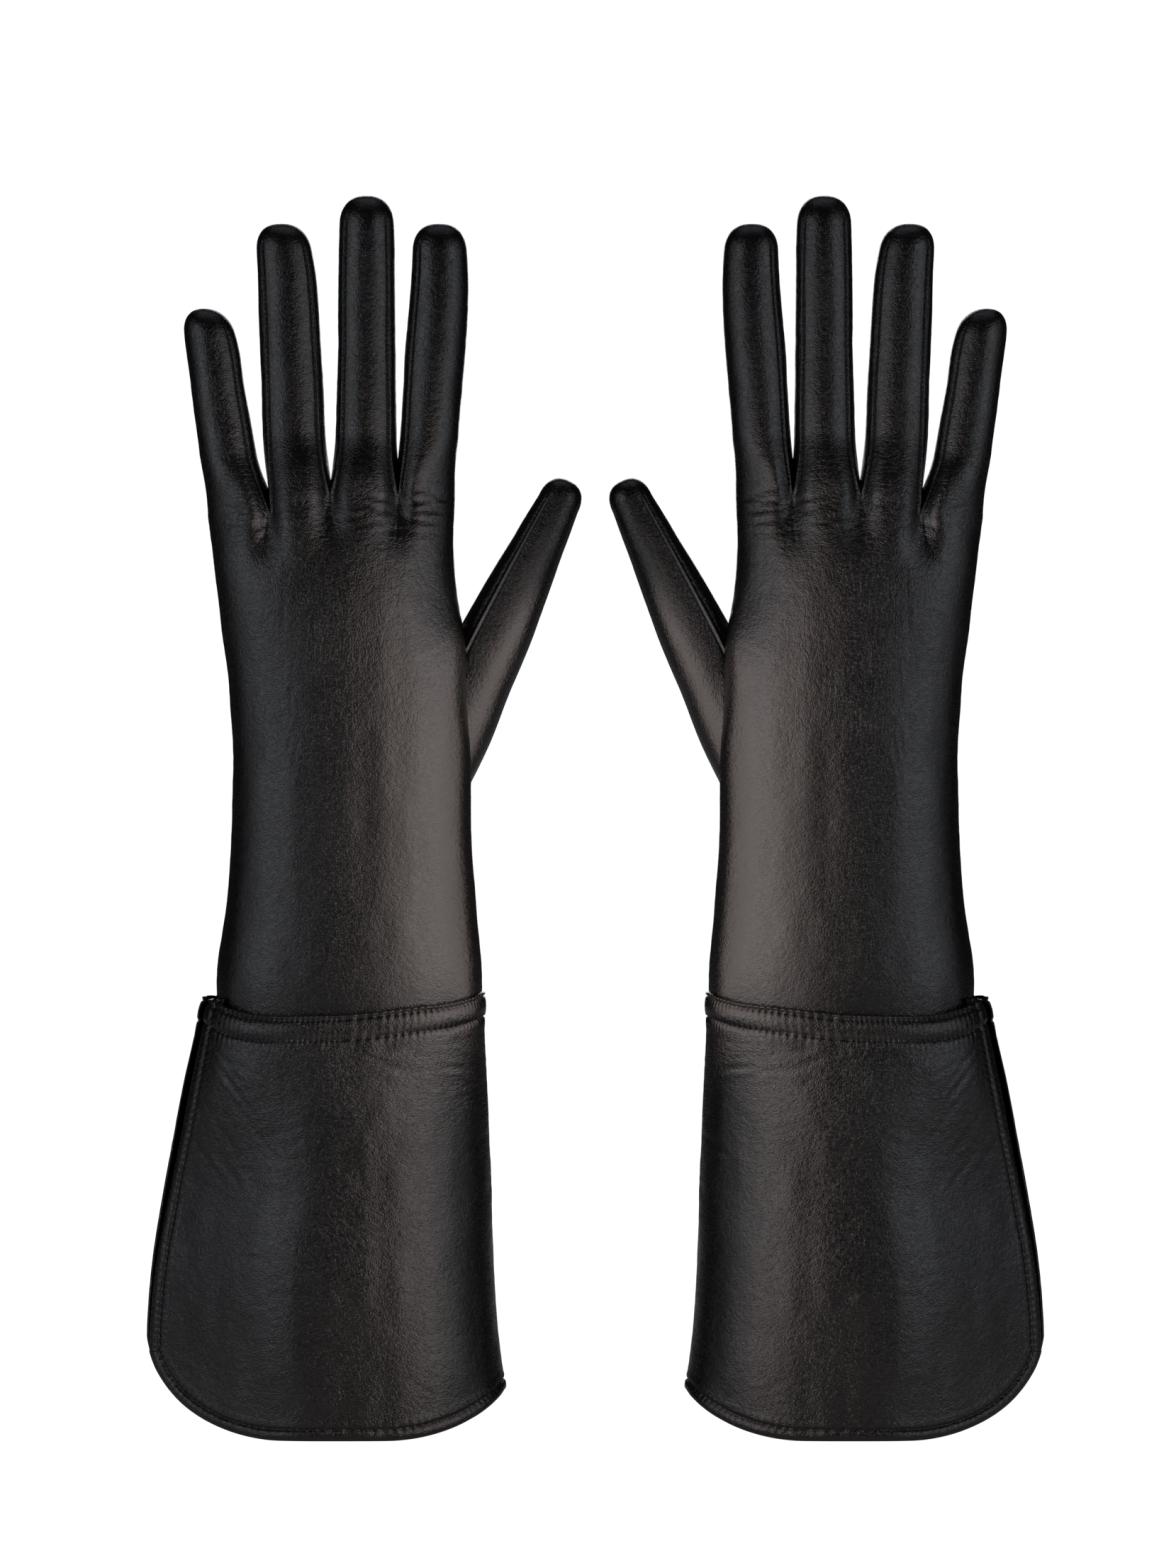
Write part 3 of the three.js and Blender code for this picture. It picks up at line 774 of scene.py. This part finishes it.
def stitching_tree():
    """Threads laid end to end along a line: Pitch apart, each Stitch long and Thread thick."""
    tree = bpy.data.node_groups.new("row_of_stitches", "GeometryNodeTree")
    tree.interface.new_socket("Line", in_out="INPUT", socket_type="NodeSocketGeometry")
    sizes = {}
    for name, size in (("Pitch", PITCH), ("Stitch", STITCH_LENGTH), ("Thread", THREAD_THICK)):
        socket = tree.interface.new_socket(name, in_out="INPUT", socket_type="NodeSocketFloat")
        socket.default_value = size * MM
        sizes[name] = socket.identifier
    socket = tree.interface.new_socket("Material", in_out="INPUT", socket_type="NodeSocketMaterial")
    sizes["Material"] = socket.identifier
    tree.interface.new_socket("Stitches", in_out="OUTPUT", socket_type="NodeSocketGeometry")
    add = tree.nodes.new
    link = tree.links.new
    given, result = add("NodeGroupInput"), add("NodeGroupOutput")
    line, spaced = add("GeometryNodeMeshToCurve"), add("GeometryNodeResampleCurve")
    spaced.mode = "LENGTH"
    link(given.outputs["Line"], line.inputs["Mesh"])
    link(line.outputs[0], spaced.inputs["Curve"])
    link(given.outputs["Pitch"], spaced.inputs["Length"])
    tangent, turned = add("GeometryNodeInputTangent"), add("FunctionNodeAlignRotationToVector")
    turned.axis = "X"
    link(tangent.outputs[0], turned.inputs["Vector"])
    ball, size = add("GeometryNodeMeshUVSphere"), add("ShaderNodeCombineXYZ")
    ball.inputs["Segments"].default_value = 7
    ball.inputs["Rings"].default_value = 5
    ball.inputs["Radius"].default_value = 0.5
    link(given.outputs["Stitch"], size.inputs["X"])
    link(given.outputs["Thread"], size.inputs["Y"])
    link(given.outputs["Thread"], size.inputs["Z"])
    placed, real = add("GeometryNodeInstanceOnPoints"), add("GeometryNodeRealizeInstances")
    finish = add("GeometryNodeSetMaterial")
    link(spaced.outputs[0], placed.inputs["Points"])
    link(ball.outputs["Mesh"], placed.inputs["Instance"])
    link(turned.outputs[0], placed.inputs["Rotation"])
    link(size.outputs[0], placed.inputs["Scale"])
    link(placed.outputs[0], real.inputs[0])
    link(real.outputs[0], finish.inputs["Geometry"])
    link(given.outputs["Material"], finish.inputs["Material"])
    link(finish.outputs[0], result.inputs[0])
    return tree, sizes


STITCHING, STITCHING_INPUTS = stitching_tree()


def stitch(line, material, pitch=PITCH, length=STITCH_LENGTH, thread=THREAD_THICK):
    """Turns a line into its row of stitches, as a plain mesh."""
    modifier = line.modifiers.new("stitching", "NODES")
    modifier.node_group = STITCHING
    for name, size in (("Pitch", pitch), ("Stitch", length), ("Thread", thread)):
        modifier[STITCHING_INPUTS[name]] = size * MM
    modifier[STITCHING_INPUTS["Material"]] = material
    graph = bpy.context.evaluated_depsgraph_get()
    mesh = bpy.data.meshes.new_from_object(line.evaluated_get(graph))
    line.modifiers.remove(modifier)
    mesh.materials.clear()
    mesh.materials.append(material)
    line.data = mesh
    mesh.polygons.foreach_set("use_smooth", [True] * len(mesh.polygons))
    return line


def join(name, objects):
    """One object from several meshes."""
    points, faces, start = [], [], 0
    for made in objects:
        mesh = made.data
        co = np.empty(len(mesh.vertices) * 3)
        mesh.vertices.foreach_get("co", co)
        points.append(co.reshape(-1, 3))
        faces += [[v + start for v in face.vertices] for face in mesh.polygons]
        start += len(mesh.vertices)
    whole = bpy.data.meshes.new(name)
    whole.from_pydata(np.concatenate(points).tolist(), [], faces)
    whole.polygons.foreach_set("use_smooth", [True] * len(whole.polygons))
    whole.materials.append(objects[0].data.materials[0])
    for made in objects:
        bpy.data.objects.remove(made)
    return put_in_scene(name, whole)


# ---------------- materials


class Number:
    """A value in a material, so that shader maths reads as ordinary maths."""

    def __init__(self, nodes, socket):
        self.nodes, self.socket = nodes, socket

    def _math(self, operation, first, second):
        return Number(self.nodes, self.nodes.make("Math", [first, second], operation=operation)[0])

    def __add__(self, other):
        return self._math("ADD", self, other)

    def least(self, other):
        return self._math("MINIMUM", self, other)

    def __mul__(self, other):
        return self._math("MULTIPLY", self, other)

    __radd__ = __add__
    __rmul__ = __mul__


class Nodes:
    """The nodes of one material or of the world."""

    def __init__(self, owner, shader="Principled BSDF"):
        owner.use_nodes = True
        self.tree = owner.node_tree
        self.shader = self.tree.nodes[shader]

    def make(self, kind, inputs=(), **settings):
        """A node of that type: its settings first, then values or links for its sockets, by name or place."""
        node = self.tree.nodes.new("ShaderNode" + kind)
        for setting, value in settings.items():
            setattr(node, setting, value)
        for key, value in inputs.items() if isinstance(inputs, dict) else enumerate(inputs):
            self.feed(node.inputs[key], value)
        return node.outputs

    def feed(self, socket, value):
        value = getattr(value, "socket", value)
        if isinstance(value, bpy.types.NodeSocket):
            self.tree.links.new(value, socket)
        else:
            socket.default_value = value

    def number(self, output):
        return Number(self, output)

    def mix(self, factor, first, second):
        return self.make("Mix", {0: factor, 6: first, 7: second}, data_type="RGBA")[2]

    def noise(self, seat, scale, detail=2.0):
        return self.number(self.make("TexNoise", {"Vector": seat, "Scale": scale, "Detail": detail})["Fac"])

    def cells(self, seat, scale):
        """Distance from the creases between cells."""
        made = self.make("TexVoronoi", {"Vector": seat, "Scale": scale}, feature="DISTANCE_TO_EDGE")
        return self.number(made["Distance"])

    def bump(self, height, strength, distance):
        return self.make("Bump", {"Height": height, "Strength": strength, "Distance": distance})["Normal"]

    def set(self, **sockets):
        for name, value in sockets.items():
            self.feed(self.shader.inputs[name.replace("_", " ")], value)


def grey(level, warmth=0.0):
    return (level * (1 + warmth), level, level * (1 - warmth), 1)


def wrinkles(n, seat, stretch, scale, wander):
    """Fine broken wrinkles: grooves between cells that are drawn out against the stretch."""
    drawn = n.make("VectorMath", [seat, stretch], operation="MULTIPLY")[0]
    drift = n.make("TexNoise", {"Vector": seat, "Scale": 210.0, "Detail": 3.0})["Color"]
    bent = n.make("VectorMath", [drift, (wander,) * 3, drawn], operation="MULTIPLY_ADD")[0]
    return n.cells(bent, scale).least(0.13)


def between(n, value, low, full, full_to, high):
    """1 from full to full_to, fading to 0 at low and high."""
    def ramp(start, end):
        inputs = {"Value": value, "From Min": start, "From Max": end}
        return n.number(n.make("MapRange", inputs, interpolation_type="SMOOTHSTEP")["Result"])

    return ramp(low, full) * ramp(high, full_to)


def glove_leather(name, grain, roughness, across, along):
    """Black nappa: pebbled grain under a millimetre across, pores, wrinkles, and a soft uneven sheen.
    across and along give the heights between which wrinkles run across the glove or along it."""
    material = bpy.data.materials.new(name)
    n = Nodes(material)
    seat = n.make("TexCoord")["Object"]
    height_up = n.make("SeparateXYZ", [seat])["Z"]
    wander = n.make("TexNoise", {"Vector": seat, "Scale": 900.0, "Detail": 2.0})["Color"]
    bent = n.make("VectorMath", [wander, (0.0008,) * 3, seat], operation="MULTIPLY_ADD")[0]
    pebbles, folds = n.cells(bent, 1250.0), n.cells(bent, 420.0)
    pores, patches, slow = n.noise(seat, 5200.0, 3.0), n.noise(seat, 55.0, 3.0), n.noise(seat, 18.0)
    patchy = between(n, patches, 0.4, 0.56, 1.2, 1.5)
    crossing = wrinkles(n, seat, (0.7, 0.7, 2.0), 330.0, 0.007) * between(n, height_up, *across)
    rising = wrinkles(n, seat, (2.0, 2.0, 0.5), 300.0, 0.005) * between(n, height_up, *along)
    height = grain * (pebbles * 0.55 + folds * 0.55) + pores * 0.22 + patches * 0.3
    height = height + patchy * (crossing * 2.8 + rising * 1.7)
    n.set(Base_Color=n.mix(patches, grey(0.0018, 0.03), grey(0.0042, 0.1)))
    n.set(Normal=n.bump(height, 0.6, 0.0003), Roughness=roughness + patches * 0.12 + slow * 0.06)
    n.set(IOR=1.48, Specular_IOR_Level=0.5, Coat_Weight=0.1, Coat_Roughness=0.22)
    return material


def knitted_lining():
    """Thin dark knit, matt and finely ribbed."""
    material = bpy.data.materials.new("knitted_lining")
    n = Nodes(material)
    seat = n.make("TexCoord")["Object"]
    ribs = n.number(n.make("TexWave", {"Vector": seat, "Scale": 420.0, "Distortion": 0.6})["Fac"])
    fuzz = n.noise(seat, 2600.0, 3.0)
    n.set(Base_Color=n.mix(ribs, grey(0.008), grey(0.02, 0.03)), Roughness=0.78 + fuzz * 0.15)
    n.set(Normal=n.bump(ribs * 0.7 + fuzz * 0.3, 0.5, 0.0002), Sheen_Weight=0.15)
    return material


def waxed_thread():
    """Black bonded thread with its twist."""
    material = bpy.data.materials.new("waxed_thread")
    n = Nodes(material)
    seat = n.make("TexCoord")["Object"]
    twist = n.noise(seat, 6000.0)
    n.set(Base_Color=n.mix(twist, grey(0.003), grey(0.012, 0.04)), Roughness=0.5 + twist * 0.1)
    n.set(Normal=n.bump(twist, 0.4, 0.00006), Specular_IOR_Level=0.4)
    return material


KNUCKLES, PALM = (0.262, 0.285, 0.3, 0.33), (0.2, 0.225, 0.26, 0.285)
UNDER_BAND, HEM = (0.075, 0.105, 0.118, 0.128), (0.0, 0.005, 0.006, 0.01)
LEATHER = glove_leather("black_glove_leather", grain=1.4, roughness=0.13, across=KNUCKLES, along=PALM)
CUFF_LEATHER = glove_leather("black_cuff_leather", grain=1.6, roughness=0.1, across=UNDER_BAND, along=HEM)
LINING = knitted_lining()
THREAD = waxed_thread()

# ---------------- the gloves

BEND_ABOVE_ROOT = WEB_ARCH + 0.6
BEND_LENGTH = 24.0
THUMB_BEND = (-14, 14)  # along the thumb, from the base of its stall
WRIST_BEND = (WRIST_LOW - 4, WRIST_HIGH + 4)
WRIST_X = -5
LINING_DEPTH = 1.6
THREAD_HEIGHT = 0.12  # of a thread's middle above the bottom of its groove
LINING_THICK = 0.5
STITCH_MEASURED_ROW = 40  # the row of a finger where its stitches' distance from the edge is measured
STITCHED_SHARE = 0.86  # share of a finger's rows that have stitches
FINGER_STITCH = {"pitch": 1.5, "length": 1.1, "thread": 0.28}
# each finger's sides that are fourchettes, and what they are called
FORKS = {
    "little": {"right": "radial"},
    "ring": {"left": "ulnar", "right": "radial"},
    "middle": {"left": "ulnar", "right": "radial"},
    "index": {"left": "ulnar"},
}


def turned_in(edge):
    """Rows that turn the sleeve's lower edge inwards."""
    middle = edge.mean(0) * (0, 0, 1)
    towards = (middle - edge) * (1, 1, 0)
    towards = towards / np.linalg.norm(towards, axis=1, keepdims=True)
    turns = ((1.3, 4), (1.3, 1), (0.9, 0.1), (0.4, -0.1))
    return np.stack([edge + towards * depth + (0, 0, rise) for depth, rise in turns])


def hand_skin():
    """The whole leather skin of the hand and its fingers, shaped, seamed and creased."""
    skin = Skin()
    rows = np.linspace(0, 1, 170)
    for name, panel in RING:
        grid = trunk_grid(name, panel, rows)
        skin.add("hand", np.concatenate([turned_in(grid[0]), grid]))
    for name in FINGERS:
        for panel, (grid, lift) in finger_panels(name).items():
            owner = f"{name}_{FORKS[name][panel]}_fourchette" if panel in FORKS[name] else f"{name}_finger"
            skin.add(owner, grid, lift)
    skin.merge()
    skin.push(skin.lifts + leather_swell(skin.points, 3) + hand_creases(skin.points))
    return skin


def thumb_skin():
    """The thumb's leather skin, without what lies deep inside the hand."""
    skin = Skin()
    for panel, (grid, lift) in thumb_panels().items():
        skin.add("thumb", grid, lift)
    skin.merge()
    skin.push(skin.lifts + 0.8 * leather_swell(skin.points, 8))
    inside = trunk_depth_inside(skin.points)[skin.quads].max(1) < THUMB_CUT
    skin.quads, skin.owner = skin.quads[~inside], skin.owner[~inside]
    return skin


def shell(points, faces, normals, thickness):
    """A sheet with a thickness: the same sheet again under it, and a rim along its open edges."""
    count = len(points)
    sides = [(a, b) for face in faces for a, b in zip(face, face[1:] + face[:1])]
    present = set(sides)
    rim = [[b, a, a + count, b + count] for a, b in sides if (b, a) not in present]
    under = [[v + count for v in face[::-1]] for face in faces]
    return (
        np.concatenate([points, points - normals * thickness]), faces + under + rim,
        np.concatenate([normals, -normals]),
    )


def thinned(grid, first=0):
    """A coarser grid, from its first row to its very last."""
    rows = [*range(first, len(grid) - 1, 3), len(grid) - 1]
    return grid[rows, ::2]


def lining_skin():
    """The linings of the hand, fingers and thumb, inside the leather."""
    skin = Skin()
    rows = np.linspace(0.012, 1, 60)
    for name, panel in RING:
        skin.add("hand_lining", trunk_grid(name, panel, rows)[:, ::2])
    for name in FINGERS:
        for grid, _ in finger_panels(name).values():
            skin.add(f"{name}_lining", thinned(grid))
    for grid, _ in thumb_panels().values():
        skin.add("thumb_lining", thinned(grid, THUMB_STALL_ROW))
    skin.merge()
    skin.push(np.full(len(skin.points), -LINING_DEPTH))
    return skin


def blend_point(x, y, z, mirror):
    """A point of the left glove's millimetres in the scene, mirrored for the right glove."""
    return (mirror * (x + GLOVE_X) * MM, y * MM, z * MM)


HAND, THUMB_SKIN, LININGS = hand_skin(), thumb_skin(), lining_skin()
CUFF_SKIN, CUFF_SEAM = build_cuff()
FACING_SKIN = build_facing()


def cuff_lines():
    """The rows of topstitching on the cuff."""
    arc = np.linspace(0.004, 0.996, 700) * CUFF_ROUND
    top = cuff_top_at(arc)
    rows = [(np.stack([arc, top - row], 1), 0) for row in BAND_ROWS]
    rows.append((CUFF_SEAM[CUFF_SEAM[:, 1] < CUFF_TOP - 14], dict(TURNED_EDGE)[STITCH_IN]))
    for flat, turned in rows:
        place, out = cuff_place(flat)
        yield place + out * (cuff_lift(flat, turned) + THREAD_HEIGHT)[:, None]


def finger_lines(name):
    """The stitching of a finger's lapped seams."""
    panels = finger_panels(name)
    for panel, ends in (("back", ("left", "right")), ("palm", ("right", "left"))):
        grid = panels[panel][0]
        arc = run_along(grid[STITCH_MEASURED_ROW])
        for end, place in zip(ends, (arc, arc[-1] - arc)):
            if end in FORKS[name]:
                column = np.argmin(np.abs(place - STITCH_FROM_EDGE))
                yield grid[3 : int(len(grid) * STITCHED_SHARE), column]


def make_glove(side, mirror):
    def settle(made, slot, replaced, bodies, bend):
        """Hides the CAD parts a piece replaces; a piece given a bend has its transform baked into its mesh,
        any other is parented to the body it rides on. slot is not used.
        """
        if replaced:
            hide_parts(*(f"{side}_{name}" for name in replaced))
        if bend:
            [f"{side}_{name}" for name in bodies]
            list(bend)
            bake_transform(made)
        else:
            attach(made, *(f"{side}_{name}" for name in bodies))

    def leather(name, surface, replaced, bodies, bend=None, material=LEATHER):
        made = make_mesh(f"{side}_{name}_leather", *surface, mirror, material)
        settle(made, "leather", replaced, bodies, bend)

    def knit(name, replaced, bodies, bend):
        surface = shell(*LININGS.piece(name + "_lining"), LINING_THICK)
        settle(make_mesh(f"{side}_{name}_knit", *surface, mirror, LINING), "lining", replaced, bodies, bend)

    def sewn(name, lines, bodies, bend=None, **sizes):
        rows = [stitch(make_path(f"row_{i}", line, mirror), THREAD, **sizes) for i, line in enumerate(lines)]
        settle(join(f"{side}_{name}_stitching", rows), "leather", (), bodies, bend)

    wrist = [blend_point(WRIST_X, 0, z, mirror) for z in WRIST_BEND]
    leather("hand", HAND.piece("hand"), ("sleeve", "wrist", "hand"), ("forearm", "hand"), wrist)
    knit("hand", ("sleeve_lining", "wrist_lining", "hand_lining"), ("forearm", "hand"), wrist)
    for name in FINGERS:
        base = (LITTLE_Z if name == "little" else KNUCKLE_Z) + BEND_ABOVE_ROOT
        root = [blend_point(0, 0, z, mirror) for z in (base, base + BEND_LENGTH)]
        knit(name, (name + "_lining",), ("hand", name), root)
        for piece in [f"{name}_finger"] + [f"{name}_{k}_fourchette" for k in FORKS[name].values()]:
            leather(piece, HAND.piece(piece), (piece,), ("hand", name), root)
        sewn(name, finger_lines(name), ("hand", name), root, **FINGER_STITCH)
    root = [blend_point(*(THUMB_BASE + THUMB_AXIS * along), mirror) for along in THUMB_BEND]
    parts = ("thumb_root", "thumb", "thumb_gusset")
    leather("thumb", THUMB_SKIN.piece("thumb"), parts, ("hand", "thumb"), root)
    knit("thumb", ("thumb_lining",), ("hand", "thumb"), root)
    leather("cuff", CUFF_SKIN.piece("cuff"), ("cuff",), ("forearm",), material=CUFF_LEATHER)
    facing = shell(*FACING_SKIN.piece("facing"), FACING_THICK)
    leather("cuff_facing", facing, ("cuff_facing",), ("forearm",), material=CUFF_LEATHER)
    sewn("cuff", cuff_lines(), ("forearm",))


for side, mirror in (("left", 1), ("right", -1)):
    make_glove(side, mirror)

# ---------------- floor, lights and camera

FRAME_HEIGHT = 0.4878  # of the picture, where the gloves stand
PICTURE_CENTRE = (-0.0023, 0.0, 0.2024)
LENS = 200.0
WARM, COOL = (1.0, 0.83, 0.77), (0.89, 0.92, 1.0)
STUDIO_DIM, STUDIO_SEEN = 0.015, 1.05  # the surroundings' strength in reflections and to the camera
FLOOR_SEEN = 1.0
# lights back to back between the gloves, edge on to the camera: distance from the middle plane,
# place in depth and height, size, power
PANELS_BETWEEN = [
    ("between_sleeves", 0.002, (-0.05, 0.19), (0.09, 0.13), 0.075),
    ("between_palms", 0.003, (-0.28, 0.24), (0.16, 0.18), 0.28),
    ("between_thumbs", 0.003, (-0.14, 0.22), (0.12, 0.18), 0.13),
    ("between_cuffs", 0.003, (-0.13, 0.055), (0.1, 0.15), 0.09),
]


def area_light(name, place, target, size, power, colour):
    """A rectangular light that shines from place towards target."""
    light = bpy.data.lights.new(name, "AREA")
    light.shape = "RECTANGLE"
    light.size, light.size_y = size
    light.energy = power
    light.color = colour
    made = put_in_scene(name, light)
    made.location = place
    made.rotation_euler = (Vector(target) - Vector(place)).to_track_quat("-Z", "Y").to_euler()
    made.visible_camera = False


def seen(n):
    """1 where the camera looks straight at something, 0 in reflections and bounced light."""
    return n.number(n.make("LightPath")["Is Camera Ray"])


def paper_floor():
    """A plain white floor."""
    mesh = bpy.data.meshes.new("paper_floor")
    mesh.from_pydata([(x, y, 0) for x, y in ((-6, -6), (6, -6), (6, 6), (-6, 6))], [], [(0, 1, 2, 3)])
    material = bpy.data.materials.new("white_paper")
    n = Nodes(material)
    n.set(Base_Color=grey(0.75), Roughness=0.95, Emission_Color=grey(1.0))
    n.set(Specular_IOR_Level=0.0, Emission_Strength=seen(n) * FLOOR_SEEN)
    mesh.materials.append(material)
    put_in_scene("paper_floor", mesh)


def camera():
    data = bpy.data.cameras.new("camera")
    data.lens = LENS
    data.sensor_width = 36.0
    made = put_in_scene("camera", data)
    x, y, z = PICTURE_CENTRE
    made.location = (x, y - FRAME_HEIGHT * LENS / data.sensor_width, z)
    made.rotation_euler = (math.pi / 2, 0, 0)
    data.clip_start, data.clip_end = 0.05, 20
    bpy.context.scene.camera = made


def lights():
    for side in (-1, 1):
        for name, aside, seat, size, power in PANELS_BETWEEN:
            area_light(name, (side * aside, *seat), (side, *seat), size, power, WARM)
        area_light("outer_side", (side * 0.98, -1.07, 0.5), (side * 0.08, 0, 0.5), (0.75, 0.84), 3.1, COOL)
        area_light("outer_rim", (side * 0.9, -0.45, 0.3), (0, -0.45, 0.3), (0.8, 1.1), 1.1, COOL)
    area_light("palm_side", (0, 1.8, 0.7), (0, 0, 0.2), (0.8, 0.9), 5.0, COOL)
    area_light("overhead", (0, 0.1, 1.6), (0, 0, 0), (1.2, 1.2), 1.5, COOL)
    world = bpy.data.worlds.new("studio")
    n = Nodes(world, "Background")
    n.set(Color=grey(1.0), Strength=STUDIO_DIM + seen(n) * (STUDIO_SEEN - STUDIO_DIM))
    bpy.context.scene.world = world
    bpy.context.scene.view_settings.view_transform = "Standard"


camera()
lights()
paper_floor()
